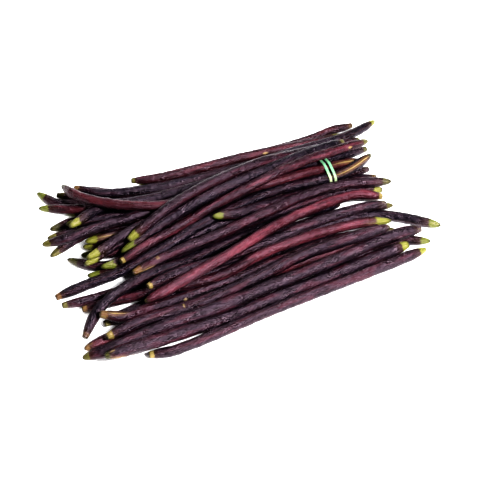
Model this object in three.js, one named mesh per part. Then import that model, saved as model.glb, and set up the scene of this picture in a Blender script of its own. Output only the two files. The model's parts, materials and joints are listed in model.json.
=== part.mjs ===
// A loose bunch of purple yardlong beans lying on a table, partly tied with a rubber band.
// Millimetres, +Z up, the table at z = 0, the origin under the middle of the bunch.
// Each pod is laid along the route its photograph shows, then the heap is settled under
// gravity until no two pods touch, as a handful of stiff, slightly bendy rods would lie.
import * as THREE from "three";

// Driving sizes
const MM_PER_PIXEL = 1;
const VIEW_MIDDLE_PX = { x: 240, y: 240 };
const VIEW_ELEVATION = THREE.MathUtils.degToRad(48);
const VIEW_DISTANCE = 1600;
const POD_SIDES = 8;
const NODE_SPACING = 22;
const POD_CLEARANCE = 0.5;
const STUB_PROFILE = [[0, 0.5], [4, 0.66], [13, 0.96]];
const TIP_PROFILE = [[1.2, 0.3], [8, 0.64], [18, 0.92]];
const FLAT_ON_TABLE = 0.2;
const AIM_REACH = 2;

const BAND_SEEN_PX = { x: 324, y: 171 };
const BAND_WIDTH = 3;
const BAND_THICKNESS = 1.1;
const BAND_CLEARANCE = 0.35;
const BAND_MIDDLE_HEIGHT = 16;
const BAND_TURN_OFFSET = 2.7;
const BAND_EDGES = [-1, 0, 1].map((side) => side * (BAND_TURN_OFFSET + BAND_WIDTH / 2));
const BAND_ROOM = 2 * BAND_CLEARANCE + BAND_THICKNESS;
const CROSSING_ROOM = BAND_ROOM + BAND_THICKNESS + BAND_CLEARANCE;
const BAND_STEPS = 44;
const CROSSING_SHARE = 0.13;
const LIFT_FULL_SHARE = 0.1;
const LIFT_NONE_SHARE = 0.18;
const ROUND_STEPS = 40;
const OUTLINE_FINENESS = 8;

// Settling
const GRAVITY_STEP = 0.16;
const ROUTE_PULL = 0.05;
const HIDDEN_PULL = 0.006;
const BEND_STIFFNESS = 0.45;
const LEAST_STIFFNESS = 0.2;
const BAND_SQUEEZE = 0.04;
const OUTER_SHARE = 0.6;
const SETTLE_STEPS = 600;
const RELAX_STEPS = 900;
const CALMING_STEPS = 540;
const NEAR_MARGIN = 6;
const DROP_MARGIN = 12;
const PAIR_REFRESH = 15;
const OVERLAP_ALLOWED = 0.04;
const DROP_OVERLAP = 0.72;
const DROP_HEIGHT = 70;
const DROP_SAMPLES = 4;
const DROP_STEPS = 40;

const COLOURS = { purple: 0x3a2433, dark: 0x2a2230, maroon: 0x4c2330, red: 0x7d2c3f, mint: 0xa6d9b4 };
const POD_ROUGHNESS = 0.42;
const RUBBER_ROUGHNESS = 0.6;

// A pod's thickness in millimetres, its colour, what its left and right ends are, where it is
// out of sight, and its centre line from left to right in pixels of the photograph. Out of
// sight it may slide. The band goes round the tied ones.
function pod(thick, tone, ends, unseen, ...px) {
  const [left, right] = ends.split(" ");
  return { thick, tone, left, right, unseen, px };
}

function tied(...parts) {
  return { ...pod(...parts), tied: true };
}

const ALL_SEEN = [0, 0];
const LEFT_END_SEEN = [118, 480];

// The pods in the order they are laid, lowest first
const PODS = [
  // The floor of the heap at the back
  pod(8.8, "maroon", "tip stub", ALL_SEEN,
    [138, 188], [160, 186], [185, 179.5], [220, 169], [300, 146], [340, 130], [353, 127]),
  pod(8.8, "maroon", "stub tip", ALL_SEEN,
    [131, 180], [150, 179], [200, 168.5], [280, 149], [310, 143.5], [345, 136]),
  pod(9.4, "maroon", "stub tip", [185, 345],
    [80, 194.5], [95, 198], [135, 198.5], [175, 191], [230, 180.5], [300, 165], [340, 158],
    [361, 155]),
  pod(9.2, "dark", "stub tip", LEFT_END_SEEN,
    [54, 199], [80, 203], [110, 205], [150, 201], [190, 191], [240, 176]),
  pod(9.0, "purple", "tip stub", LEFT_END_SEEN,
    [39, 191], [50, 200], [65, 203], [90, 207], [130, 209], [180, 199], [240, 180], [300, 160]),
  pod(9.2, "purple", "stub tip", LEFT_END_SEEN,
    [63, 215], [75, 216], [100, 216], [140, 213], [190, 203], [240, 187.5], [300, 168]),
  pod(9.2, "purple", "tip stub", LEFT_END_SEEN,
    [51, 228], [60, 224.5], [70, 220], [90, 216], [130, 217], [180, 211], [240, 195], [300, 176]),
  pod(9.4, "dark", "tip stub", LEFT_END_SEEN,
    [47, 238], [58, 235.5], [70, 231], [90, 226], [130, 224], [180, 218], [240, 202.5], [300, 184]),
  pod(9.0, "maroon", "tip stub", LEFT_END_SEEN,
    [88, 236], [97, 233.5], [115, 232], [150, 230], [190, 224], [240, 210], [300, 191]),
  pod(9.6, "maroon", "tip stub", LEFT_END_SEEN,
    [80, 248], [92, 249], [110, 248], [150, 243], [190, 234], [240, 217.5], [300, 197]),
  pod(9.2, "purple", "tip stub", LEFT_END_SEEN,
    [86, 273], [98, 273], [115, 270], [150, 260], [190, 246], [240, 227], [290, 209]),

  // The layer on top of it
  tied(9.6, "maroon", "tip stub", LEFT_END_SEEN,
    [39, 205], [50, 207], [80, 211], [130, 213], [180, 207], [240, 192], [290, 180], [352, 163]),
  pod(9.0, "dark", "tip stub", LEFT_END_SEEN,
    [64, 221], [75, 219], [90, 217], [130, 211], [180, 203], [240, 185.6], [300, 166]),
  tied(9.6, "purple", "tip stub", LEFT_END_SEEN,
    [51, 258], [60, 252], [80, 240.5], [100, 232], [130, 223], [180, 213], [240, 198], [290, 186],
    [352, 169]),
  pod(9.4, "purple", "tip stub", LEFT_END_SEEN,
    [84, 241], [95, 240], [115, 237], [150, 229], [190, 217], [240, 200.5], [300, 181]),
  pod(9.2, "maroon", "tip stub", LEFT_END_SEEN,
    [79, 254], [92, 252], [110, 248], [150, 237], [190, 225], [240, 208], [290, 191]),
  pod(9.4, "purple", "tip stub", LEFT_END_SEEN,
    [70, 261], [80, 264.5], [90, 268], [105, 270], [125, 265], [150, 254], [190, 237], [240, 216],
    [290, 197]),
  pod(9.0, "dark", "tip stub", LEFT_END_SEEN,
    [101, 269], [118, 262], [135, 253], [160, 240], [200, 221], [240, 203], [280, 186]),
  pod(9.0, "purple", "tip stub", LEFT_END_SEEN,
    [89, 271], [103, 261], [120, 249], [150, 232], [200, 209], [240, 194], [280, 178]),
  pod(9.0, "purple", "tip stub", LEFT_END_SEEN,
    [88, 261], [100, 256], [112, 248], [150, 226], [190, 207], [230, 190], [270, 176]),

  // The floor of the heap at the front
  pod(9.6, "purple", "stub tip", ALL_SEEN,
    [63, 308], [85, 302], [115, 291.5], [180, 270], [260, 241], [340, 216.5], [370, 210.5], [394, 208]),
  pod(9.8, "dark", "stub tip", [130, 330],
    [104, 326], [160, 306], [200, 288], [240, 266], [300, 235.5], [350, 219], [380, 216.5], [441, 228]),
  pod(9.4, "dark", "tip stub", [0, 480],
    [140, 303], [200, 283], [250, 263], [300, 243], [338, 231]),
  pod(9.8, "red", "stub tip", [140, 235],
    [80, 309], [100, 302.5], [160, 289], [220, 274], [260, 253], [300, 239], [360, 224.5], [394, 223]),
  pod(9.8, "purple", "stub tip", [150, 385],
    [127, 351], [180, 333], [260, 294], [340, 263.5], [400, 241], [415, 239.5], [430, 241]),

  // Most of the pods the band holds, and one behind them
  tied(9.6, "purple", "tip stub", [100, 345],
    [43, 246], [55, 244], [95, 228.5], [150, 214], [200, 203], [250, 195], [300, 186], [340, 177],
    [369, 169]),
  tied(10.2, "dark", "stub tip", [245, 300],
    [55, 298], [80, 286.5], [120, 271.5], [165, 250], [200, 224.5], [240, 201.5], [280, 186],
    [334, 176.5], [350, 170], [371, 157]),
  pod(9.4, "dark", "stub tip", ALL_SEEN,
    [74, 189], [100, 194], [140, 191], [180, 183], [260, 163.5], [340, 141], [362, 129.5], [374, 121]),
  tied(9.6, "dark", "tip stub", [104, 320],
    [69, 228], [80, 222], [100, 208], [130, 205], [150, 202], [220, 190.5], [280, 178], [320, 167],
    [364, 148]),
  tied(9.8, "maroon", "tip stub", [156, 300],
    [62, 186], [80, 199.5], [110, 208.5], [150, 212], [190, 208], [230, 197], [270, 186], [310, 176],
    [356, 160]),

  // The front of the bunch
  pod(10.0, "purple", "tip stub", ALL_SEEN,
    [139, 280], [170, 260], [210, 241], [250, 222.5], [290, 207], [330, 194], [350, 189], [381, 189]),
  pod(10.0, "dark", "stub tip", [260, 480],
    [89, 342], [101, 317], [130, 290], [170, 266.5], [240, 234], [310, 207], [345, 197]),
  pod(10.4, "maroon", "tip stub", ALL_SEEN,
    [84, 351], [97, 344], [140, 329.5], [220, 299], [300, 264], [375, 237]),
  pod(10.8, "purple", "stub tip", ALL_SEEN,
    [95, 310.5], [108, 314], [140, 307], [190, 292], [240, 276], [280, 257], [320, 241], [350, 236],
    [397, 228]),
  pod(11.4, "purple", "tip stub", ALL_SEEN,
    [82, 356], [97, 354], [130, 343], [220, 309], [280, 282], [340, 256], [380, 239], [421, 229]),
  pod(11.6, "purple", "stub tip", ALL_SEEN,
    [107, 338], [140, 323.5], [200, 303], [260, 275.5], [300, 256], [360, 238], [392, 230]),
  pod(11.8, "purple", "tip stub", ALL_SEEN,
    [104, 357.5], [140, 345.5], [200, 326.5], [300, 288], [380, 254.5], [408, 243]),
  pod(10.4, "purple", "stub tip", ALL_SEEN,
    [146, 349], [165, 347.5], [190, 341], [260, 313.5], [340, 283], [380, 266.5], [424, 246]),
  pod(9.8, "purple", "stub tip", ALL_SEEN,
    [149, 291], [180, 276.5], [220, 262], [260, 244], [320, 220.5], [360, 208.5], [387, 203]),
  pod(10.2, "red", "tip stub", ALL_SEEN,
    [143, 302], [180, 282.5], [240, 248], [280, 223.5], [320, 205.5], [360, 194.5], [381, 196]),

  // The pods that cross the top of the bunch
  pod(10.0, "purple", "stub tip", ALL_SEEN,
    [126, 238], [150, 220], [190, 195], [230, 178], [280, 163], [320, 152], [358, 139]),
  pod(10.0, "dark", "tip stub", ALL_SEEN,
    [116, 251], [150, 232], [190, 206.5], [210, 195.5], [250, 178.5], [300, 160], [345, 147]),
  pod(9.4, "red", "stub tip", ALL_SEEN,
    [119, 262], [150, 240], [200, 211.5], [260, 181.5], [300, 163.5], [340, 150.5], [367, 142]),
  tied(9.4, "purple", "tip stub", [262, 330],
    [211, 218.5], [226, 217.5], [262, 206], [300, 190], [340, 178], [374, 174]),
  pod(10.4, "purple", "stub tip", ALL_SEEN,
    [133, 274], [170, 253.5], [210, 235.5], [270, 204.5], [310, 189], [350, 182], [392, 182]),
];

// A photograph pixel, and the point at a given height that the eye sees there
const SIN = Math.sin(VIEW_ELEVATION);
const COS = Math.cos(VIEW_ELEVATION);
const EYE = new THREE.Vector3(0, -VIEW_DISTANCE * COS, VIEW_DISTANCE * SIN);
const FORWARD = new THREE.Vector3(0, COS, -SIN);
const UPWARD = new THREE.Vector3(0, SIN, COS);

function pixelToView(x, y) {
  return new THREE.Vector2(x - VIEW_MIDDLE_PX.x, VIEW_MIDDLE_PX.y - y).multiplyScalar(MM_PER_PIXEL);
}

function viewToPoint(view, height) {
  const target = new THREE.Vector3(view.x, view.y * SIN, view.y * COS);
  const share = (EYE.z - height) / (EYE.z - target.z);
  return target.sub(EYE).multiplyScalar(share).add(EYE);
}

function pointToView(point) {
  const ray = point.clone().sub(EYE);
  const scale = VIEW_DISTANCE / ray.dot(FORWARD);
  return new THREE.Vector2(ray.x * scale, ray.dot(UPWARD) * scale);
}

// A pod as a chain of nodes: positions, the view points they are drawn to, and the bend
// each node keeps in plan
function makeChain(pod) {
  const radius = pod.thick / 2;
  const lowest = radius * Math.cos(Math.PI / POD_SIDES);
  const drawn = pod.px.map(([x, y]) => viewToPoint(pixelToView(x, y), lowest));
  const curve = new THREE.CatmullRomCurve3(drawn, false, "centripetal");
  const steps = Math.round(curve.getLength() / NODE_SPACING);
  const nodes = curve.getSpacedPoints(steps);
  const bends = nodes.map((p, i) => {
    if (i === 0 || i === steps) return new THREE.Vector3();
    return nodes[i - 1].clone().add(nodes[i + 1]).multiplyScalar(0.5).sub(p);
  });
  const views = nodes.map(pointToView);
  const [from, to] = pod.unseen.map((x) => pixelToView(x, 0).x);
  const free = views.map(({ x }) => x > from && x < to);
  return { ...pod, radius, lowest, nodes, bends, views, free };
}

// The nearest points of two segments, as shares along each
function nearestShares(a0, a1, b0, b1) {
  const ux = a1.x - a0.x, uy = a1.y - a0.y, uz = a1.z - a0.z;
  const vx = b1.x - b0.x, vy = b1.y - b0.y, vz = b1.z - b0.z;
  const wx = a0.x - b0.x, wy = a0.y - b0.y, wz = a0.z - b0.z;
  const uu = ux * ux + uy * uy + uz * uz;
  const vv = vx * vx + vy * vy + vz * vz;
  const uv = ux * vx + uy * vy + uz * vz;
  const uw = ux * wx + uy * wy + uz * wz;
  const vw = vx * wx + vy * wy + vz * wz;
  const cross = uu * vv - uv * uv;
  let s = cross > 1e-9 ? THREE.MathUtils.clamp((uv * vw - vv * uw) / cross, 0, 1) : 0.5;
  const t = THREE.MathUtils.clamp((uv * s + vw) / vv, 0, 1);
  s = THREE.MathUtils.clamp((uv * t - uw) / uu, 0, 1);
  return [s, t];
}

// Each pod comes down its view rays onto the ones already lying there
function dropChain(chain, placed) {
  const last = chain.nodes.length - 1;
  const clear = [];
  for (let i = 0; i <= last * DROP_SAMPLES; i += 1) {
    const share = i / DROP_SAMPLES;
    const from = Math.min(Math.floor(share), last - 1);
    const view = chain.views[from].clone().lerp(chain.views[from + 1], share - from);
    clear.push(clearHeight(view, chain, placed));
  }
  chain.nodes.forEach((node, i) => {
    const near = clear.slice(Math.max(0, (i - 1) * DROP_SAMPLES), (i + 1) * DROP_SAMPLES + 1);
    node.copy(viewToPoint(chain.views[i], Math.max(...near)));
  });
}

function clearHeight(view, chain, placed) {
  for (let height = DROP_HEIGHT; height > chain.lowest; height -= 1) {
    const point = viewToPoint(view, height);
    if (placed.some((other) => touches(point, chain.radius, other))) return height;
  }
  return chain.lowest;
}

function touches(point, radius, other) {
  const reach = (radius + other.radius) * DROP_OVERLAP;
  for (let i = 1; i < other.nodes.length; i += 1) {
    const [a, b] = [other.nodes[i - 1], other.nodes[i]];
    if (Math.abs(a.x + b.x - 2 * point.x) > 2 * NODE_SPACING + 2 * reach) continue;
    const near = new THREE.Line3(a, b).closestPointToPoint(point, true, new THREE.Vector3());
    if (near.distanceTo(point) < reach) return true;
  }
  return false;
}

// Settling steps
function pullDown(chain, step) {
  for (const node of chain.nodes) node.z -= step;
}

function pullToRoute(chain, calm) {
  chain.nodes.forEach((node, i) => {
    const share = (chain.free[i] ? HIDDEN_PULL : ROUTE_PULL) * calm;
    const goal = viewToPoint(chain.views[i], node.z);
    node.x += (goal.x - node.x) * share;
    node.y += (goal.y - node.y) * share;
  });
}

function straighten(chain, share) {
  for (let i = 1; i < chain.nodes.length - 1; i += 1) {
    const [before, node, after] = [chain.nodes[i - 1], chain.nodes[i], chain.nodes[i + 1]];
    const off = before.clone().add(after).multiplyScalar(0.5).sub(node).sub(chain.bends[i]);
    node.addScaledVector(off, share * 0.5);
    before.addScaledVector(off, -share * 0.25);
    after.addScaledVector(off, -share * 0.25);
  }
}

function keepOnTable(chain) {
  for (const node of chain.nodes) node.z = Math.max(node.z, chain.lowest);
}

function nearPairs(chains, margin) {
  const links = chains.flatMap((chain, k) =>
    chain.nodes.slice(1).map((b, i) => ({ chain, k, a: chain.nodes[i], b })));
  const reach = NODE_SPACING + chains[0].radius * 2 + margin;
  const pairs = [];
  links.forEach((p, i) => {
    for (let j = i + 1; j < links.length; j += 1) {
      const q = links[j];
      if (p.k === q.k) continue;
      if (Math.abs(p.a.x + p.b.x - q.a.x - q.b.x) > 2 * reach) continue;
      if (Math.abs(p.a.y + p.b.y - q.a.y - q.b.y) > 2 * reach) continue;
      const [s, t] = nearestShares(p.a, p.b, q.a, q.b);
      const gap = p.a.clone().lerp(p.b, s).distanceTo(q.a.clone().lerp(q.b, t));
      if (gap < p.chain.radius + q.chain.radius + margin) pairs.push([p, q]);
    }
  });
  return pairs;
}

// Two links that are too close move apart; the deepest overlap found is returned
function separate(pairs) {
  let deepest = 0;
  for (const [p, q] of pairs) {
    const [s, t] = nearestShares(p.a, p.b, q.a, q.b);
    const dx = p.a.x + (p.b.x - p.a.x) * s - q.a.x - (q.b.x - q.a.x) * t;
    const dy = p.a.y + (p.b.y - p.a.y) * s - q.a.y - (q.b.y - q.a.y) * t;
    const dz = p.a.z + (p.b.z - p.a.z) * s - q.a.z - (q.b.z - q.a.z) * t;
    const gap = Math.hypot(dx, dy, dz);
    const overlap = p.chain.radius + q.chain.radius + POD_CLEARANCE - gap;
    if (overlap <= 0) continue;
    deepest = Math.max(deepest, overlap);
    const weights = (1 - s) ** 2 + s ** 2 + (1 - t) ** 2 + t ** 2;
    const push = new THREE.Vector3(dx, dy, dz).multiplyScalar(overlap / gap / weights);
    p.a.addScaledVector(push, 1 - s);
    p.b.addScaledVector(push, s);
    q.a.addScaledVector(push, t - 1);
    q.b.addScaledVector(push, -t);
  }
  return deepest;
}

// The plane across the tied pods where the band goes round: its middle, the way the pods
// run through it, and two directions in the plane
function bandPlane(chains) {
  const tied = chains.filter((chain) => chain.tied);
  const middle = viewToPoint(pixelToView(BAND_SEEN_PX.x, BAND_SEEN_PX.y), BAND_MIDDLE_HEIGHT);
  const along = new THREE.Vector3();
  for (const chain of tied) {
    const link = chain.nodes.findIndex((node) => node.x > middle.x);
    along.add(chain.nodes[link].clone().sub(chain.nodes[link - 1]).normalize());
  }
  along.setZ(0).normalize();
  return { middle, along, across: new THREE.Vector3(-along.y, along.x, 0) };
}

// Where a chain meets the band's plane moved along by offset: the link's two nodes, the
// share between them, and the point in the plane's own across and up
function meetPlane(chain, plane, offset) {
  const depth = (p) => p.clone().sub(plane.middle).dot(plane.along) - offset;
  for (let i = 1; i < chain.nodes.length; i += 1) {
    const [a, b] = [chain.nodes[i - 1], chain.nodes[i]];
    const [da, db] = [depth(a), depth(b)];
    if (da * db > 0 || da === db) continue;
    const share = da / (da - db);
    const point = a.clone().lerp(b, share);
    const across = point.clone().sub(plane.middle).dot(plane.across);
    return { chain, a, b, share, at: new THREE.Vector2(across, point.z) };
  }
  return null;
}

function shiftAtPlane(meet, plane, across, up) {
  const weights = (1 - meet.share) ** 2 + meet.share ** 2;
  const push = plane.across.clone().multiplyScalar(across / weights).setZ(up / weights);
  meet.a.addScaledVector(push, 1 - meet.share);
  meet.b.addScaledVector(push, meet.share);
}

// The outline of the tied pods in the band's plane, let out by margin
function tiedOutline(chains, plane, margin) {
  const points = [];
  for (const chain of chains.filter((c) => c.tied)) {
    for (const offset of BAND_EDGES) {
      const { at } = meetPlane(chain, plane, offset);
      const out = chain.radius + margin;
      for (let k = 0; k < ROUND_STEPS; k += 1) {
        const angle = (k / ROUND_STEPS) * Math.PI * 2;
        points.push(new THREE.Vector2(at.x + out * Math.cos(angle), at.y + out * Math.sin(angle)));
      }
    }
  }
  return convexHull(points);
}

function convexHull(points) {
  const sorted = [...points].sort((p, q) => p.x - q.x || p.y - q.y);
  const half = (list) => {
    const hull = [];
    for (const p of list) {
      while (hull.length > 1 && turn(hull.at(-2), hull.at(-1), p) <= 0) hull.pop();
      hull.push(p);
    }
    return hull.slice(0, -1);
  };
  return [...half(sorted), ...half(sorted.reverse())];
}

function turn(a, b, c) {
  return (b.x - a.x) * (c.y - a.y) - (b.y - a.y) * (c.x - a.x);
}

// Pods inside the band draw together, and all others keep clear of it
function keepBandClear(chains, plane, squeeze) {
  const held = chains.filter((c) => c.tied);
  const inside = held.map((c) => meetPlane(c, plane, 0));
  const middle = new THREE.Vector2();
  for (const meet of inside) middle.addScaledVector(meet.at, 1 / inside.length);
  for (const meet of inside) {
    const off = middle.clone().sub(meet.at).multiplyScalar(squeeze);
    shiftAtPlane(meet, plane, off.x, off.y);
  }
  const outline = tiedOutline(chains, plane, 0);
  let deepest = 0;
  for (const offset of BAND_EDGES) {
    for (const chain of held) {
      const meet = meetPlane(chain, plane, offset);
      const low = meet.chain.radius + CROSSING_ROOM - meet.at.y;
      if (low <= 0) continue;
      deepest = Math.max(deepest, low);
      shiftAtPlane(meet, plane, 0, low);
    }
    for (const chain of chains.filter((c) => !c.tied)) {
      const meet = meetPlane(chain, plane, offset);
      if (!meet) continue;
      const { distance, normal } = outlineDistance(outline, meet.at);
      const room = meet.at.y < middle.y ? CROSSING_ROOM : BAND_ROOM;
      const overlap = chain.radius + room - distance;
      if (overlap <= 0) continue;
      deepest = Math.max(deepest, overlap);
      const out = overlap * OUTER_SHARE;
      shiftAtPlane(meet, plane, normal.x * out, normal.y * out);
      const back = (out - overlap) / inside.length;
      for (const inner of inside) shiftAtPlane(inner, plane, normal.x * back, normal.y * back);
    }
  }
  return deepest;
}

// How far a point is outside a closed outline that runs anticlockwise, negative inside,
// and the way out
function outlineDistance(outline, point) {
  let best = { distance: -Infinity, normal: null };
  let corner = { distance: Infinity, normal: null };
  outline.forEach((a, i) => {
    const b = outline[(i + 1) % outline.length];
    const edge = b.clone().sub(a);
    const normal = new THREE.Vector2(edge.y, -edge.x).normalize();
    const distance = point.clone().sub(a).dot(normal);
    if (distance > best.distance) best = { distance, normal };
    const share = THREE.MathUtils.clamp(point.clone().sub(a).dot(edge) / edge.lengthSq(), 0, 1);
    const away = point.clone().sub(a.clone().addScaledVector(edge, share));
    if (away.length() >= corner.distance) return;
    corner = { distance: away.length(), normal: away.normalize() };
  });
  return best.distance > 0 ? corner : best;
}

function settleStep(chains, pairs, plane, calm) {
  for (const chain of chains) {
    pullDown(chain, GRAVITY_STEP * calm);
    pullToRoute(chain, calm);
    straighten(chain, BEND_STIFFNESS * Math.max(calm, LEAST_STIFFNESS));
  }
  const overlaps = [separate(pairs), separate(pairs), separate(pairs)];
  const squashed = plane ? keepBandClear(chains, plane, BAND_SQUEEZE * calm) : 0;
  chains.forEach(keepOnTable);
  return Math.max(squashed, overlaps[0]);
}

function layBunch(pods) {
  const chains = [];
  for (const pod of pods) {
    const chain = makeChain(pod);
    dropChain(chain, chains);
    chains.push(chain);
    const pairs = nearPairs(chains, DROP_MARGIN);
    for (let step = 0; step < DROP_STEPS; step += 1) settleStep(chains, pairs, null, 1);
  }
  const plane = bandPlane(chains);
  let pairs = [];
  for (let step = 0; step < SETTLE_STEPS + RELAX_STEPS; step += 1) {
    if (step % PAIR_REFRESH === 0) pairs = nearPairs(chains, NEAR_MARGIN);
    const calm = THREE.MathUtils.clamp(1 - (step - SETTLE_STEPS) / CALMING_STEPS, 0, 1);
    const deepest = settleStep(chains, pairs, plane, calm);
    if (calm === 0 && deepest < OVERLAP_ALLOWED) break;
  }
  return { chains, plane };
}

// A closed skin over rings of points, with a point at each end
function skin(rings, start, end) {
  const sides = rings[0].length;
  const points = [start, ...rings.flat(), end];
  const faces = [];
  const at = (ring, side) => 1 + ring * sides + (side % sides);
  for (let k = 0; k < sides; k += 1) {
    faces.push(0, at(0, k + 1), at(0, k));
    faces.push(points.length - 1, at(rings.length - 1, k), at(rings.length - 1, k + 1));
    for (let ring = 1; ring < rings.length; ring += 1) {
      faces.push(at(ring - 1, k), at(ring - 1, k + 1), at(ring, k + 1));
      faces.push(at(ring - 1, k), at(ring, k + 1), at(ring, k));
    }
  }
  return geometryOf(points, faces);
}

function geometryOf(points, faces) {
  const geometry = new THREE.BufferGeometry().setFromPoints(points);
  geometry.setIndex(faces);
  geometry.computeVertexNormals();
  return geometry;
}

// The pod's thickness, as places along it and shares of its full radius
function podProfile(pod, length) {
  const profileOf = (end) => (end === "tip" ? TIP_PROFILE : STUB_PROFILE);
  const links = pod.nodes.length - 1;
  const middle = pod.nodes.map((_, i) => [(length * i) / links, 1]).slice(1, -1);
  const right = profileOf(pod.right).map(([place, share]) => [length - place, share]);
  return [...profileOf(pod.left), ...middle, ...right.reverse()];
}

function podGeometry(pod) {
  const path = new THREE.CurvePath();
  pod.nodes.slice(1).forEach((b, i) => path.add(new THREE.LineCurve3(pod.nodes[i], b)));
  const length = path.getLength();
  const rings = podProfile(pod, length).map(([place, share]) => {
    const centre = path.getPointAt(place / length);
    const ahead = path.getPointAt(Math.min(1, (place + AIM_REACH) / length));
    const behind = path.getPointAt(Math.max(0, (place - AIM_REACH) / length));
    const along = ahead.sub(behind).normalize();
    const side = new THREE.Vector3(-along.y, along.x, 0).normalize();
    const top = along.clone().cross(side);
    return ringOf(centre, side, top, pod.radius * share);
  });
  return skin(rings, pod.nodes[0], pod.nodes.at(-1));
}

function ringOf(centre, side, top, radius) {
  const ring = [];
  for (let k = 0; k < POD_SIDES; k += 1) {
    const angle = ((k + 0.5) / POD_SIDES) * Math.PI * 2;
    const point = centre.clone();
    point.addScaledVector(side, radius * Math.cos(angle));
    point.addScaledVector(top, radius * Math.sin(angle));
    if (point.z < FLAT_ON_TABLE) point.z = 0;
    ring.push(point);
  }
  return ring;
}

// The band: one rubber strip wound twice round the tied pods, its two turns side by side
// and crossing over each other underneath
function bandGeometry(chains, plane) {
  const inner = spaced(tiedOutline(chains, plane, BAND_CLEARANCE), BAND_STEPS);
  const rings = [];
  for (let i = 0; i < 2 * BAND_STEPS; i += 1) {
    const place = i % BAND_STEPS;
    const { point, normal } = inner[place];
    const fromCrossing = Math.min(place, BAND_STEPS - place) / BAND_STEPS;
    const side = i < BAND_STEPS ? 1 : -1;
    const apart = THREE.MathUtils.smoothstep(fromCrossing, 0, CROSSING_SHARE);
    const offset = side * BAND_TURN_OFFSET * apart;
    const outer = Math.abs(i - BAND_STEPS) < BAND_STEPS / 2;
    const near = 1 - THREE.MathUtils.smoothstep(fromCrossing, LIFT_FULL_SHARE, LIFT_NONE_SHARE);
    const lift = outer ? near * (BAND_THICKNESS + BAND_CLEARANCE) : 0;
    rings.push(bandSection(plane, point, normal, offset, lift));
  }
  const faces = [];
  rings.forEach((ring, i) => {
    const next = (i + 1) % rings.length;
    for (let k = 0; k < ring.length; k += 1) {
      const turned = (k + 1) % ring.length;
      const [here, there] = [i * ring.length, next * ring.length];
      faces.push(here + k, here + turned, there + turned);
      faces.push(here + k, there + turned, there + k);
    }
  });
  return geometryOf(rings.flat(), faces);
}

// The four corners of the strip at one place round the bunch
function bandSection(plane, point, normal, offset, lift) {
  const corners = [[0, -1], [0, 1], [1, 1], [1, -1]];
  return corners.map(([face, edge]) => {
    const at = point.clone().addScaledVector(normal, lift + face * BAND_THICKNESS);
    const corner = plane.middle.clone().setZ(0).addScaledVector(plane.across, at.x);
    corner.addScaledVector(plane.along, offset + (edge * BAND_WIDTH) / 2);
    return corner.setZ(at.y);
  });
}

// Evenly spaced points round a closed outline, from the middle of its underside, each
// with the way out
function spaced(outline, count) {
  const curve = new THREE.CurvePath();
  outline.forEach((a, i) => curve.add(new THREE.LineCurve(a, outline[(i + 1) % outline.length])));
  const even = curve.getSpacedPoints(count * OUTLINE_FINENESS).slice(0, -1);
  const reach = OUTLINE_FINENESS / 2;
  const middle = even.reduce((sum, p) => sum.add(p), new THREE.Vector2()).divideScalar(even.length);
  const under = even.filter((p) => p.y < middle.y);
  under.sort((p, q) => Math.abs(p.x - middle.x) - Math.abs(q.x - middle.x));
  const start = even.indexOf(under[0]);
  return Array.from({ length: count }, (_, i) => {
    const here = (start + i * OUTLINE_FINENESS) % even.length;
    const before = even[(here + even.length - reach) % even.length];
    const after = even[(here + reach) % even.length];
    const way = after.clone().sub(before).normalize();
    return { point: even[here], normal: new THREE.Vector2(way.y, -way.x) };
  });
}

const { chains, plane } = layBunch(PODS);
const bunch = new THREE.Group();
chains.forEach((chain, i) => {
  const skinned = { color: COLOURS[chain.tone], roughness: POD_ROUGHNESS, metalness: 0 };
  const mesh = new THREE.Mesh(podGeometry(chain), new THREE.MeshStandardMaterial(skinned));
  mesh.name = `pod_${String(i + 1).padStart(2, "0")}`;
  bunch.add(mesh);
});

const rubber = { color: COLOURS.mint, roughness: RUBBER_ROUGHNESS, metalness: 0 };
const band = new THREE.Mesh(bandGeometry(chains, plane), new THREE.MeshStandardMaterial(rubber));
band.name = "rubber_band";
bunch.add(band);

// The origin goes under the middle of the bunch
const box = new THREE.Box3().setFromObject(bunch);
const centre = box.getCenter(new THREE.Vector3());
bunch.position.set(-centre.x, -centre.y, -box.min.z);

export default bunch;
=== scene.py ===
# A loose bunch of purple yardlong beans lying on a pale table, some held by a rubber band.
# Metres, +Z up, in the frame of the CAD model. Every pod is built along the middle line of
# its CAD solid, with its seeds, sutures, green tip and cut stalk end.
import json
import math

import bmesh
import bpy
import numpy as np
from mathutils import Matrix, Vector, noise


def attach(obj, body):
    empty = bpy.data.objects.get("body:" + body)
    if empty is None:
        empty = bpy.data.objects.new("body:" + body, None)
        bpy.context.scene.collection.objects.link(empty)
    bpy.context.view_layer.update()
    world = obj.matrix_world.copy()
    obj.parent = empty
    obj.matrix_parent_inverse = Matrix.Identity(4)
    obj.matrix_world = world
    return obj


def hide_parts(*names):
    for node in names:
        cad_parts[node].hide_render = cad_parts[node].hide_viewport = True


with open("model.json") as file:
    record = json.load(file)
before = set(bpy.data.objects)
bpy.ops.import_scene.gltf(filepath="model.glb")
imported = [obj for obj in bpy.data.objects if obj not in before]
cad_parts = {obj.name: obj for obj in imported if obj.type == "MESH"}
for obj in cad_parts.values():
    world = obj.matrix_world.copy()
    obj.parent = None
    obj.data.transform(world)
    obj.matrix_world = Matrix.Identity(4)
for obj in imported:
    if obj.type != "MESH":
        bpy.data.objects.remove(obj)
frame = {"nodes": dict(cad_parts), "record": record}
bpy.ops.object.select_all(action="DESELECT")
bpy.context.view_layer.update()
MM = 0.001
SAME_POINT = 1e-6

# The camera, and the point that the middle of the photograph shows
VIEW_TARGET = Vector((2.9, -2.8, 0.0)) * MM
VIEW_DISTANCE = 1.6
VIEW_ELEVATION = math.radians(48)
VIEW_WIDTH = 0.48
SENSOR_MM = 36

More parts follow.
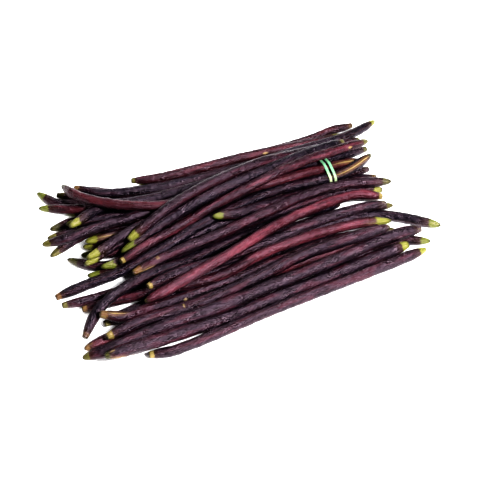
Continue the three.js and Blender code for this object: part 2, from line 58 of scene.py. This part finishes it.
# A pod's cage of rings, in millimetres. Subdivision draws a ring in, so the cage is wider by
# SWELL. The pod's direction is measured over DIRECTION_REACH ahead and behind
CAD_SIDES = 8
SIDES = 12
ANGLES = np.arange(SIDES) / SIDES * 2 * math.pi
SWELL = 6 / (4 + 2 * math.cos(2 * math.pi / SIDES))
RING_STEP = 2.8
CLOSEST_MIDDLES = 0.05
DIRECTION_REACH = 1.5

# A cut stalk end and a pointed tip: millimetres from the end, and the share of the full
# thickness there. An end whose outermost CAD ring is wider than STUB_SHARE is a cut one
STUB_RINGS = ((0, 0.3), (0, 0.47), (0.5, 0.55), (2, 0.6), (5, 0.7), (9, 0.86), (14, 0.96), (18, 1))
TIP_RINGS = ((0.4, 0.22), (1.5, 0.4), (3.5, 0.54), (6.5, 0.68), (10, 0.81), (14, 0.91), (18, 0.98))
STUB_SHARE = 0.4
CUT_DEPTH = 0.4

# How a pod is swollen, as shares of its thickness, and the lengths of that in millimetres
SEED_SPACING = 9.4
SEED_SWELL = 0.04
SEED_DRIFT = 2.5
UNEVEN_THICKNESS = 0.06
LUMP_LENGTH = 7.5
LUMP_SWELL = 0.11
FLATTENING = 0.035

# How far a pod's skin and its middle line leave those of its CAD solid, in millimetres
FULLNESS = 0.3
WOBBLE = 0.45
SHORT_WOBBLE_SHARE = 0.5

# Noise that runs along the pods: the length of a swell in millimetres, how far apart two pods
# read it, and the layer that they read
WAVES = {
    "thickness": (38, 7.3, 0),
    "seed drift": (60, 3.1, 5),
    "flush": (45, 1, 9),
    "sideways": (44, 2.9, 44),
    "short sideways": (17, 2.9, 17),
    "upwards": (44, 2.9, 94),
    "short upwards": (17, 2.9, 67),
}

# What sets each pod apart from the one before it: its seeds, as a share of their spacing, its
# lumps, its suture in degrees and its skin pattern in millimetres
SEED_STEP = 0.37
LUMP_STEP = 5.7
SUTURE_STEP = 83
PATTERN_STEP = 900
TWIST_PER_MM = 0.0035

END_COLOURS = {
    "lime": "#7f803c",
    "green": "#666d30",
    "olive": "#57532b",
    "moss": "#3b3c23",
    "yellow": "#8c7c4e",
    "tan": "#6f5338",
    "brown": "#4a3024",
    "grey": "#493b42",
    "dark": "#22141a",
}

# What each pod's left and right ends look like, and how many millimetres of them, where that
# isn't END_LENGTH
END_LENGTH = {"tip": 12, "stub": 5}
ENDS = {
    1: ("lime 14", "brown"),
    2: ("olive 4", "olive"),
    3: ("brown", "brown 8"),
    4: ("olive 8", "brown"),
    5: ("green 12", "brown"),
    6: ("lime 12", "olive"),
    7: ("moss 10", "brown"),
    8: ("olive 10", "brown"),
    9: ("lime 13", "brown"),
    10: ("lime 11", "brown"),
    11: ("green 12", "brown"),
    12: ("green 11", "brown"),
    13: ("lime 11", "brown"),
    14: ("olive 10", "brown"),
    15: ("lime 12", "brown"),
    16: ("green 12", "brown"),
    17: ("moss 13", "brown"),
    18: ("green 14", "brown"),
    19: ("lime 15", "brown"),
    20: ("lime 13", "brown"),
    21: ("olive 5", "olive 7"),
    22: ("olive 5", "green 12"),
    23: ("moss", "brown"),
    24: ("tan 5", "lime 17"),
    25: ("brown", "green 10"),
    26: ("olive 8", "grey"),
    27: ("tan 5", "moss 6"),
    28: ("tan 6", "lime 9"),
    29: ("lime 12", "moss"),
    30: ("moss 9", "yellow 5"),
    31: ("olive 9", "lime 9"),
    32: ("brown", "dark 3"),
    33: ("tan 5", "brown"),
    34: ("tan 7", "olive 8"),
    35: ("olive 7", "grey"),
    36: ("yellow 6", "dark 3"),
    37: ("moss 5", "lime 8"),
    38: ("yellow 5", "lime 9"),
    39: ("yellow 4", "grey 6"),
    40: ("dark 3", "yellow 4"),
    41: ("lime 11", "moss 6"),
    42: ("green 16", "olive 5"),
    43: ("yellow 4", "olive 9"),
    44: ("green 10", "brown"),
    45: ("tan 9", "moss 10"),
}

# Where a suture has split and dried to tan: millimetres from the left and from the right end
SPLITS = {
    9: (26, 0),
    15: (34, 0),
    24: (0, 30),
    27: (0, 66),
    30: (0, 44),
    33: (9, 0),
    34: (28, 0),
    37: (22, 0),
    45: (24, 0),
}

# The angle round the pod, from its back over its top, at which its suture lies
SUTURES = {
    9: 130,
    15: 120,
    24: 150,
    27: 122,
    30: 118,
    33: 95,
    34: 100,
    37: 190,
    40: 170,
    43: 165,
    45: 160,
}

# How flushed with red a pod is, the angle at which it is strongest, and the share of the
# pod's length where it sets in, over a further share of FLUSH_ONSET
FLUSHES = {
    2: (0.2, 150, 0),
    24: (0.95, 130, 0.5),
    30: (0.6, 125, 0),
    33: (0.8, 110, 0),
    38: (0.12, 120, 0),
    40: (0.8, 120, 0),
    41: (0.25, 150, 0),
    43: (0.2, 150, 0.6),
    45: (0.25, 120, 0),
}
FLUSH_ONSET = 1 / 12
FLUSH_LEVEL = 0.75
FLUSH_WAVE = 0.5

# Small pale spots, partly dried scars and partly painted highlights: millimetres from the left
# end, or from the right one where negative, the angle round the pod, and how long the spot is
SCARS_AND_PAINTED_HIGHLIGHTS = {
    2: (143, 150, 7),
    34: (88, 165, 6),
    36: (80, 105, 2.5),
    37: (8, 95, 5),
    43: (-29, 150, 6),
    45: (28, 105, 4),
}
SPOT_STRENGTH = 1.2

# Colours that all the pods share
# A grey of painted sheen, laid over the skin in random patches
PAINTED_SHEEN = "#352c39"
SEAM = "#4d2a27"
DRIED = "#69503b"
SPLIT_EDGE = "#a59162"
TIP_NECK = "#3c2a20"
WAX = "#dcc4d4"
# The point of a tip is darker: partly its dried colour, partly painted shade on its narrowing rim
END_COATS = (("tip streaks", "#9c9658"), ("dried point and painted shade", "#2c2b1a"), ("cut face", "#a08e60"))

# Patterns in the bean skin: their spots in millimetres across and along the pod, and their
# detail. The grain and the wrinkles are finer on a real pod, and as coarse as they need to
# show here
PATTERNS = {
    "streaks": (1.3, 25, 3.0),
    "patches": (5.2, 34, 2.0),
    "clouds": (3.8, 12, 2.0),
    "grain": (0.7, 1.1, 2.0),
    "knobs": (2.4, 5.2, 2.0),
    "wrinkles": (1.1, 2.4, 3.0),
}

# How a pattern, or another measure of the skin, fades into a strength: what it is read from,
# where the fade starts and ends, and the strengths there. Sideways is in metres from the
# suture, and the rest in the pattern's own level or in lengths of the coloured end
FADES = {
    "mid tone": ("streaks", 0.36, 0.66, 0.0, 1.0),
    # Painted sheen in grey patches
    "painted sheen": ("clouds", 0.52, 0.7, 0.0, 0.35),
    "red patches": ("patches", 0.48, 0.66, 0.0, 0.55),
    "red streaks": ("streaks", 0.25, 0.68, 0.45, 1.0),
    "shade": ("grain", 0.3, 0.7, 0.6, 1.2),
    "seam": ("sideways", 0.0003, 0.0008, 1.0, 0.0),
    "faint seam": ("sideways", 0.0003, 0.0008, 0.3, 0.0),
    "dried face": ("sideways", 0.0021, 0.0034, 0.85, 0.0),
    "dried scar and painted highlight": ("scar_and_highlight", 0.35, 0.75, 0.0, 0.75),
    "tip streaks": ("streaks", 0.4, 0.7, 0.0, 0.3),
    # Partly the dried point of a tip, partly painted shade on its rim
    "dried point and painted shade": ("end_share", 0.0, 0.34, 0.85, 0.0),
    "cut face": ("end_share", -0.9, -0.3, 1.0, 0.0),
    "rim": ("streaks", 0.3, 0.7, -0.12, 0.12),
    "roughness": ("clouds", 0.35, 0.65, 0.24, 0.4),
}

# The same for the coloured end and the darker neck behind it, whose rims are ragged
RAGGED_FADES = {
    "neck": (1.0, 2.2, 0.65, 0.0),
    "coloured end": (0.94, 1.04, 1.0, 0.0),
}
SHADE_STRENGTH = 0.5
RELIEF = {"wrinkles": 0.8, "grain": 0.2, "seam": 0.35}

# The rubber band: its edges and grain in millimetres, and where along Y its painted highlight,
# a cream in front, fades into its mint, in metres
BAND_BEVEL = 0.28
BAND_CORNER = math.radians(50)
BAND_GRAIN = 1.1
BAND_PAINTED_HIGHLIGHT_FULL = 0.056
BAND_PAINTED_HIGHLIGHT_GONE = 0.069


def linear(code):
    """An sRGB hex colour as linear RGBA."""
    parts = [int(code[i:i + 2], 16) / 255 for i in (1, 3, 5)]
    return [c / 12.92 if c <= 0.04045 else ((c + 0.055) / 1.055) ** 2.4 for c in parts] + [1.0]


def rings_of(node):
    """The middles and radii, in millimetres, of the rings of a CAD pod, left to right."""
    mesh = bmesh.new()
    mesh.from_mesh(node.data)
    bmesh.ops.remove_doubles(mesh, verts=mesh.verts, dist=SAME_POINT)
    poles = [v for v in mesh.verts if len(v.link_edges) == CAD_SIDES]
    ring = {min(poles, key=lambda v: v.co.x)}
    seen = set(ring)
    middles = []
    radii = []
    while ring:
        points = np.array([v.co for v in ring]) / MM
        middle = points.mean(axis=0)
        middles.append(middle)
        radii.append(np.linalg.norm(points - middle, axis=1).max())
        seen |= ring
        ring = {e.other_vert(v) for v in ring for e in v.link_edges} - seen
    mesh.free()
    return np.array(middles), np.array(radii)


def smooth_line(points, places):
    """Points at the given lengths along a smooth line through the given ones."""
    gaps = np.linalg.norm(np.diff(points, axis=0), axis=1)
    points = points[np.append(True, gaps > CLOSEST_MIDDLES)]
    gaps = gaps[gaps > CLOSEST_MIDDLES]
    at = np.append(0, np.cumsum(gaps))
    slopes = np.gradient(points, at, axis=0)
    k = np.clip(np.searchsorted(at, places) - 1, 0, len(gaps) - 1)
    h = gaps[k][:, None]
    u = ((places - at[k])[:, None]) / h
    start = (1 + 2 * u) * (1 - u) ** 2 * points[k] + u * (1 - u) ** 2 * h * slopes[k]
    end = u * u * (3 - 2 * u) * points[k + 1] + u * u * (u - 1) * h * slopes[k + 1]
    return start + end


def directions(middles, places, length):
    """The ways along a pod, to its back and to its top, at each place."""
    ahead = smooth_line(middles, np.clip(places + DIRECTION_REACH, 0, length))
    behind = smooth_line(middles, np.clip(places - DIRECTION_REACH, 0, length))
    along = ahead - behind
    along /= np.linalg.norm(along, axis=1)[:, None]
    back = np.stack([-along[:, 1], along[:, 0], np.zeros(len(along))], axis=1)
    back /= np.linalg.norm(back, axis=1)[:, None]
    return along, back, np.cross(along, back)


def pod_rings(left, right, length):
    """Places along a pod and its share of full thickness there."""
    shapes = {"tip": TIP_RINGS, "stub": STUB_RINGS}
    first = list(shapes[left])
    last = [(length - place, share) for place, share in reversed(shapes[right])]
    steps = round((last[0][0] - first[-1][0]) / RING_STEP)
    between = np.linspace(first[-1][0], last[0][0], steps + 1)[1:-1]
    return np.array(first + [(place, 1) for place in between] + last)


def wave(word, number, places):
    """Noise at places along a pod, from -1 to 1."""
    size, step, layer = WAVES[word]
    spots = [Vector((place / size, number * step, layer)) for place in places]
    return np.array([noise.noise(spot) for spot in spots])


def seed_swellings(number, places):
    """Swellings over the seeds and slow changes of thickness, as shares."""
    turns = 2 * math.pi * (places / SEED_SPACING + number * SEED_STEP)
    seeds = np.cos(turns + SEED_DRIFT * wave("seed drift", number, places))
    return 1 + UNEVEN_THICKNESS * wave("thickness", number, places) + SEED_SWELL * seeds


def lumps(number, places):
    """Swellings on one side or another of a pod, as shares."""
    swellings = []
    for place in places:
        reach = place / LUMP_LENGTH
        spots = [Vector((math.cos(a) + number * LUMP_STEP, math.sin(a), reach)) for a in ANGLES]
        swellings.append([LUMP_SWELL * noise.noise(spot) for spot in spots])
    return np.array(swellings)


def wobble(way, number, places):
    """How far the middle line strays in one way, in millimetres."""
    short = wave("short " + way, number, places)
    return WOBBLE * (wave(way, number, places) + SHORT_WOBBLE_SHARE * short)


def suture_angles(number, places, length):
    """The angle of the suture at each place. It twists along the pod unless it has split."""
    angle = math.radians(SUTURES.get(number, (number * SUTURE_STEP) % 360))
    if number in SPLITS:
        return np.full(len(places), angle)
    hand = 1 if number % 2 else -1
    return angle + TWIST_PER_MM * (places - length / 2) * hand


def skin_radii(number, thickness, rings, turned):
    """How far the cage lies from the middle line at each place and angle, in millimetres."""
    places = rings[:, 0]
    thick = (thickness + FULLNESS) * seed_swellings(number, places) * rings[:, 1]
    uneven = 1 + FLATTENING * np.cos(2 * turned) + lumps(number, places)
    return thick[:, None] * uneven * SWELL


def end_look(words, kind):
    """The colour of one end of a pod, and how many millimetres of it are coloured."""
    colour, *size = words.split()
    return linear(END_COLOURS[colour]), float(size[0]) if size else END_LENGTH[kind]


def end_marks(number, kinds, places, length):
    """How many lengths of the coloured end each place is from the nearer end, and its colour."""
    looks = [end_look(words, kind) for words, kind in zip(ENDS[number], kinds)]
    nearer = (places > length / 2).astype(int)
    from_end = np.where(nearer == 1, length - places, places)
    share = from_end / np.array([looks[k][1] for k in nearer])
    return share, np.array([looks[k][0] for k in nearer])


def split_of(number, places, length):
    """How far the suture has split at each place, from 0 to 1."""
    split = np.zeros(len(places))
    for size, from_end in zip(SPLITS.get(number, (0, 0)), (places, length - places)):
        if size:
            split = np.maximum(split, np.clip(2 * (1 - from_end / size), 0, 1))
    return split


def flush_of(number, places, length):
    """How flushed with red the skin is at each place and angle, from 0 to 1."""
    strength, angle, start = FLUSHES.get(number, (0.0, 0, 0))
    facing = np.clip(np.cos(ANGLES - math.radians(angle)), 0, 1) ** 2
    level = FLUSH_LEVEL + FLUSH_WAVE * wave("flush", number, places)
    if start:
        level *= np.clip((places / length - start) / FLUSH_ONSET, 0, 1)
    return strength * facing[None, :] * level[:, None]


def scars_and_highlights_of(number, places, length):
    """How strongly pale spots, dried scars and painted highlights, mark the skin at each place and angle,
    from 0 to 1.
    """
    if number not in SCARS_AND_PAINTED_HIGHLIGHTS:
        return np.zeros((len(places), SIDES))
    place, angle, size = SCARS_AND_PAINTED_HIGHLIGHTS[number]
    along = (places - place % length) / (size / 2 + RING_STEP / 2)
    turned = (ANGLES - math.radians(angle) + math.pi) % (2 * math.pi) - math.pi
    across = turned / (2 * math.pi / SIDES)
    return np.clip(SPOT_STRENGTH - np.hypot(along[:, None], across[None, :]), 0, 1)


def cage_faces(count):
    """The faces of a tube of so many rings, closed by a point at either end."""
    last_ring = 1 + (count - 1) * SIDES
    last = last_ring + SIDES
    faces = []
    for k in range(SIDES):
        n = (k + 1) % SIDES
        faces.append((0, 1 + n, 1 + k))
        faces.append((last, last_ring + k, last_ring + n))
        for r in range(count - 1):
            a = 1 + r * SIDES
            faces.append((a + k, a + n, a + SIDES + n, a + SIDES + k))
    return faces


def end_points(kinds, places, length, centres, along):
    """The points that close a cage: a little way into a cut end, or at the very tip."""
    points = []
    for which, kind, inwards, end in ((0, kinds[0], 1, 0), (-1, kinds[1], -1, length)):
        depth = CUT_DEPTH * inwards if kind == "stub" else end - places[which]
        points.append(centres[which] + along[which] * depth)
    return points


def keep_values(mesh, name, kind, field, first, values, last):
    """Keeps a value at each point of a cage: at its first end, its rings and its last end."""
    layer = mesh.attributes.new(name, kind, "POINT")
    values = np.concatenate([[first], values, [last]])
    layer.data.foreach_set(field, values.astype(np.float32).ravel())


def mark_pod(mesh, number, kinds, places, length, radius, turned):
    """Keeps what the bean skin is drawn from at each point of a cage."""
    # Where the points lie on a straight pod that has its suture at X = 0
    straight = np.stack([-radius * np.sin(turned), radius * np.cos(turned),
                         np.repeat(places[:, None], SIDES, axis=1)], axis=2)
    shift = np.array([0, 0, number * PATTERN_STEP])
    straight = (straight.reshape(-1, 3) + shift) * MM
    first, last = [(np.array([0, 0, place]) + shift) * MM for place in (places[0], places[-1])]
    keep_values(mesh, "unbent", "FLOAT_VECTOR", "vector", first, straight, last)

    # The middle of a cut face is marked by a share of -1, and the point of a tip has 0
    share, tint = end_marks(number, kinds, places, length)
    first, last = [-1.0 if kind == "stub" else 0.0 for kind in kinds]
    keep_values(mesh, "end_share", "FLOAT", "value", first, np.repeat(share, SIDES), last)
    tints = np.repeat(tint, SIDES, axis=0)
    keep_values(mesh, "end_tint", "FLOAT_COLOR", "color", tint[0], tints, tint[-1])
    split = split_of(number, places, length)
    keep_values(mesh, "split", "FLOAT", "value", split[0], np.repeat(split, SIDES), split[-1])
    flush = flush_of(number, places, length)
    keep_values(mesh, "flush", "FLOAT", "value", 0, flush.ravel(), 0)
    # Pale spots, partly dried scars and partly painted highlights
    scar_and_highlight = scars_and_highlights_of(number, places, length)
    keep_values(mesh, "scar_and_highlight", "FLOAT", "value", 0, scar_and_highlight.ravel(), 0)


def place_piece(name, mesh, material):
    """A smooth object with one material, left active so that it can be given modifiers."""
    mesh.materials.append(material)
    piece = bpy.data.objects.new(name, mesh)
    bpy.context.scene.collection.objects.link(piece)
    bpy.context.view_layer.objects.active = piece
    piece.select_set(True)
    bpy.ops.object.shade_smooth()
    piece.select_set(False)
    return piece


def round_off(piece):
    """Rounds the active piece with a subdivision surface."""
    bpy.ops.object.modifier_add(type="SUBSURF")
    piece.modifiers[-1].levels = 1
    piece.modifiers[-1].render_levels = 1


def build_pod(name, number, material):
    """One pod along its CAD solid: a cage of rings, smoothed by a subdivision surface."""
    middles, radii = rings_of(frame["nodes"][name])
    length = np.linalg.norm(np.diff(middles, axis=0), axis=1).sum()
    cut_from = radii.max() * STUB_SHARE
    kinds = ["stub" if ring > cut_from else "tip" for ring in (radii[1], radii[-2])]
    rings = pod_rings(*kinds, length)
    places = rings[:, 0]
    along, back, top = directions(middles, places, length)
    sideways = wobble("sideways", number, places)[:, None]
    upwards = wobble("upwards", number, places)[:, None]
    centres = smooth_line(middles, places) + back * sideways + top * upwards

    turned = ANGLES[None, :] - suture_angles(number, places, length)[:, None]
    radius = skin_radii(number, radii.max(), rings, turned)
    points = (centres[:, None, :]
              + back[:, None, :] * (radius * np.cos(ANGLES))[:, :, None]
              + top[:, None, :] * (radius * np.sin(ANGLES))[:, :, None])
    points[:, :, 2] = np.maximum(points[:, :, 2], 0.0)
    first, last = end_points(kinds, places, length, centres, along)
    verts = np.concatenate([[first], points.reshape(-1, 3), [last]]) * MM
    mesh = bpy.data.meshes.new(name + "_skin")
    mesh.from_pydata(verts.tolist(), [], cage_faces(len(places)))
    mark_pod(mesh, number, kinds, places, length, radius, turned)
    pod = place_piece(name + "_pod", mesh, material)
    round_off(pod)
    return pod


def build_band(material):
    """The rubber band with rounded edges, from its CAD solid."""
    mesh = bpy.data.meshes.new("rubber_band_soft")
    cage = bmesh.new()
    cage.from_mesh(frame["nodes"]["rubber_band"].data)
    bmesh.ops.remove_doubles(cage, verts=cage.verts, dist=SAME_POINT)
    bmesh.ops.join_triangles(cage, faces=cage.faces, angle_face_threshold=0.7, angle_shape_threshold=0.9)
    cage.to_mesh(mesh)
    cage.free()
    band = place_piece("rubber_band_soft", mesh, material)
    bpy.ops.object.modifier_add(type="BEVEL")
    band.modifiers[-1].width = BAND_BEVEL * MM
    band.modifiers[-1].segments = 2
    band.modifiers[-1].angle_limit = BAND_CORNER
    round_off(band)
    return band


def add(tree, kind, inputs=None, **settings):
    """Adds a node with its settings and its inputs, each a value, a socket or a node."""
    node = tree.nodes.new(kind)
    for setting, value in settings.items():
        setattr(node, setting, value)
    for key, value in (inputs or {}).items():
        if isinstance(value, bpy.types.Node):
            value = value.outputs[0]
        if isinstance(value, bpy.types.NodeSocket):
            tree.links.new(value, node.inputs[key])
        else:
            node.inputs[key].default_value = value
    return node


def new_material(name):
    """A material that has no nodes yet, and its tree."""
    material = bpy.data.materials.new(name)
    material.use_nodes = True
    material.node_tree.nodes.clear()
    return material, material.node_tree


def skin_marks(tree):
    """What a pod's skin is drawn from: the values at its points, patterns and their fades."""
    unbent = add(tree, "ShaderNodeAttribute", attribute_name="unbent").outputs["Vector"]
    marks = {}
    for word in ("end_share", "split", "flush", "scar_and_highlight"):
        marks[word] = add(tree, "ShaderNodeAttribute", attribute_name=word).outputs["Fac"]
    for word, (across, along, detail) in PATTERNS.items():
        scale = (1 / (across * MM), 1 / (across * MM), 1 / (along * MM))
        scaled = add(tree, "ShaderNodeVectorMath", {0: unbent, 1: scale}, operation="MULTIPLY")
        inputs = {"Vector": scaled, "Scale": 1.0, "Detail": detail}
        marks[word] = add(tree, "ShaderNodeTexNoise", inputs)
    sideways = add(tree, "ShaderNodeSeparateXYZ", {0: unbent})
    marks["sideways"] = add(tree, "ShaderNodeMath", {0: sideways}, operation="ABSOLUTE")
    for word, (source, start, end, low, high) in FADES.items():
        inputs = {"Value": marks[source], "From Min": start, "From Max": end, "To Min": low, "To Max": high}
        marks[word] = add(tree, "ShaderNodeMapRange", inputs, interpolation_type="SMOOTHSTEP")
    inputs = {0: marks["end_share"], 1: marks["rim"]}
    ragged = add(tree, "ShaderNodeMath", inputs, operation="ADD")
    for word, (start, end, low, high) in RAGGED_FADES.items():
        inputs = {"Value": ragged, "From Min": start, "From Max": end, "To Min": low, "To Max": high}
        marks[word] = add(tree, "ShaderNodeMapRange", inputs, interpolation_type="SMOOTHSTEP")
    return marks


def bean_skin(name, deep, mid, ruddy):
    """One colour of bean skin: its deep and mid tones, and the red that it flushes with."""
    # The skin of a fresh bean pod, grown under a film of its own wax. To the eye it is dark
    # and satin, with fine streaks along the pod, red patches and grey patches of painted sheen, a
    # seam along the suture, and highlights that its wrinkles break up
    material, tree = new_material(name)
    marks = skin_marks(tree)
    inputs = {0: marks["flush"], 1: marks["red streaks"]}
    flushed = add(tree, "ShaderNodeMath", inputs, operation="MULTIPLY")
    redness = add(tree, "ShaderNodeMath", {0: marks["red patches"], 1: flushed}, operation="ADD")
    shades = add(tree, "ShaderNodeCombineColor", {k: marks["shade"] for k in range(3)})
    inputs = {0: marks["dried face"], 1: marks["split"]}
    split_face = add(tree, "ShaderNodeMath", inputs, operation="MULTIPLY")
    inputs = {0: marks["seam"], 1: marks["split"]}
    split_edge = add(tree, "ShaderNodeMath", inputs, operation="MULTIPLY")

    # The coloured end, then the whole skin, each a ground with coats laid over it
    green = add(tree, "ShaderNodeAttribute", attribute_name="end_tint").outputs["Color"]
    for word, coat in END_COATS:
        inputs = {0: marks[word], 6: green, 7: linear(coat)}
        green = add(tree, "ShaderNodeMix", inputs, data_type="RGBA").outputs[2]
    coats = (
        (marks["mid tone"], linear(mid), "MIX"),
        # Painted sheen: grey patches at random over the skin
        (marks["painted sheen"], linear(PAINTED_SHEEN), "MIX"),
        (redness, linear(ruddy), "MIX"),
        (SHADE_STRENGTH, shades, "MULTIPLY"),
        (marks["faint seam"], linear(SEAM), "MIX"),
        (split_face, linear(DRIED), "MIX"),
        (split_edge, linear(SPLIT_EDGE), "MIX"),
        # Pale spots: partly dried scars, partly painted highlights
        (marks["dried scar and painted highlight"], linear(SPLIT_EDGE), "MIX"),
        (marks["neck"], linear(TIP_NECK), "MIX"),
        (marks["coloured end"], green, "MIX"),
    )
    colour = linear(deep)
    for strength, coat, way in coats:
        inputs = {0: strength, 6: colour, 7: coat}
        colour = add(tree, "ShaderNodeMix", inputs, data_type="RGBA", blend_type=way).outputs[2]

    height = marks["knobs"]
    for word, share in RELIEF.items():
        inputs = {0: marks[word], 1: share, 2: height}
        height = add(tree, "ShaderNodeMath", inputs, operation="MULTIPLY_ADD")
    bump = add(tree, "ShaderNodeBump", {"Strength": 0.9, "Distance": 0.0012, "Height": height})
    shader = add(tree, "ShaderNodeBsdfPrincipled", {
        "Base Color": colour,
        "Roughness": marks["roughness"],
        "Specular IOR Level": 0.68,
        "Specular Tint": linear(WAX),
        "Normal": bump,
    })
    add(tree, "ShaderNodeOutputMaterial", {"Surface": shader})
    return material


def mint_rubber():
    """The rubber of the band."""
    # Natural rubber coloured mint, extruded as a tube and cut into bands. To the eye it is
    # matt and a little dusty. Where it goes down in front it is painted cream, a painted highlight
    material, tree = new_material("extruded mint rubber")
    place = add(tree, "ShaderNodeTexCoord").outputs["Object"]
    depth = add(tree, "ShaderNodeSeparateXYZ", {0: place}).outputs["Y"]
    inputs = {"Vector": place, "Scale": 1 / (BAND_GRAIN * MM), "Detail": 3.0}
    grain = add(tree, "ShaderNodeTexNoise", inputs)
    # Painted highlight: cream in front, fading into the mint further back along Y
    inputs = {"Value": depth, "From Min": BAND_PAINTED_HIGHLIGHT_FULL, "From Max": BAND_PAINTED_HIGHLIGHT_GONE}
    mint = add(tree, "ShaderNodeMapRange", inputs, interpolation_type="SMOOTHSTEP")
    inputs = {"Value": grain, "From Min": 0.35, "From Max": 0.7, "To Min": 0.0, "To Max": 0.35}
    dust = add(tree, "ShaderNodeMapRange", inputs, interpolation_type="SMOOTHSTEP")
    colour = linear("#a9b08c")
    for strength, coat in ((mint, "#639f7d"), (dust, "#b4bf9f")):
        inputs = {0: strength, 6: colour, 7: linear(coat)}
        colour = add(tree, "ShaderNodeMix", inputs, data_type="RGBA").outputs[2]
    bump = add(tree, "ShaderNodeBump", {"Strength": 0.4, "Distance": 0.0002, "Height": grain})
    inputs = {"Base Color": colour, "Roughness": 0.55, "Normal": bump}
    shader = add(tree, "ShaderNodeBsdfPrincipled", inputs)
    add(tree, "ShaderNodeOutputMaterial", {"Surface": shader})
    return material


def table_top_with_painted_glow_and_shade():
    """The white of the table top."""
    # A matt white table top that glows, a painted light that keeps it an even white around the pods.
    # Ambient occlusion dims the glow in the narrow gaps under the pods, which is painted shade
    material, tree = new_material("table top with painted glow and gap shade")
    # Painted shade: the glow fades where ambient occlusion finds the floor closed in by the pods
    open_sky = add(tree, "ShaderNodeAmbientOcclusion", {"Distance": 0.03}).outputs["AO"]
    inputs = {"Value": open_sky, "From Min": 0.14, "From Max": 0.44, "To Min": 0.0, "To Max": 0.6}
    painted_glow_and_gap_shade = add(tree, "ShaderNodeMapRange", inputs, interpolation_type="SMOOTHSTEP")
    shader = add(tree, "ShaderNodeBsdfPrincipled", {
        "Base Color": linear("#f7f7f8"),
        "Roughness": 0.8,
        "Emission Color": linear("#ffffff"),
        "Emission Strength": painted_glow_and_gap_shade,
    })
    add(tree, "ShaderNodeOutputMaterial", {"Surface": shader})
    return material


SKINS = {
    "pod_purple": bean_skin("waxy purple bean skin", "#0f080d", "#2f222c", "#512731"),
    "pod_dark": bean_skin("waxy blue-black bean skin", "#0a080d", "#211c27", "#381e27"),
    "pod_maroon": bean_skin("waxy maroon bean skin", "#18090d", "#3b2027", "#612e35"),
    "pod_red": bean_skin("waxy crimson bean skin", "#1c0a10", "#3d1f28", "#743e48"),
}

slots = {part["node"]: part["material_slot"] for part in frame["record"]["subparts"]}
for name in sorted(slots):
    if not name.startswith("pod_"):
        continue
    pod = build_pod(name, int(name.removeprefix("pod_")), SKINS[slots[name]])
    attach(pod, "root")
    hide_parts(name)

band = build_band(mint_rubber())
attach(band, "root")
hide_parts("rubber_band")

# The table
bpy.ops.mesh.primitive_plane_add(size=6, location=(0, 0, 0))
floor = bpy.context.active_object
floor.name = "table_top"
floor.data.materials.append(table_top_with_painted_glow_and_shade())

# Soft studio light
world = bpy.data.worlds.new("studio")
bpy.context.scene.world = world
world.use_nodes = True
sky = world.node_tree.nodes["Background"]
sky.inputs["Color"].default_value = linear("#ffffff")
sky.inputs["Strength"].default_value = 0.1


def softbox(name, place, size, power):
    """A round softbox that points at the middle of the bunch, in metres and watts."""
    bpy.ops.object.light_add(type="AREA", location=place)
    light = bpy.context.active_object
    light.name = name
    light.data.shape = "DISK"
    light.data.size = size
    light.data.energy = power
    light.rotation_euler = (-Vector(place)).to_track_quat("-Z", "Y").to_euler()


softbox("front softbox", place=(1.0, -1.0, 1.6), size=0.36, power=70)
softbox("back softbox", place=(-0.1, 1.25, 1.5), size=0.6, power=13)

# The camera, at the photograph's viewing angle
bpy.ops.object.camera_add()
camera = bpy.context.active_object
away = Vector((0, -math.cos(VIEW_ELEVATION), math.sin(VIEW_ELEVATION)))
camera.location = VIEW_TARGET + away * VIEW_DISTANCE
camera.rotation_euler = (math.pi / 2 - VIEW_ELEVATION, 0, 0)
camera.data.sensor_width = SENSOR_MM
camera.data.lens = SENSOR_MM * VIEW_DISTANCE / VIEW_WIDTH
camera.data.dof.use_dof = False
bpy.context.scene.camera = camera
bpy.context.scene.view_settings.view_transform = "Standard"
bpy.context.scene.view_settings.look = "Very High Contrast"
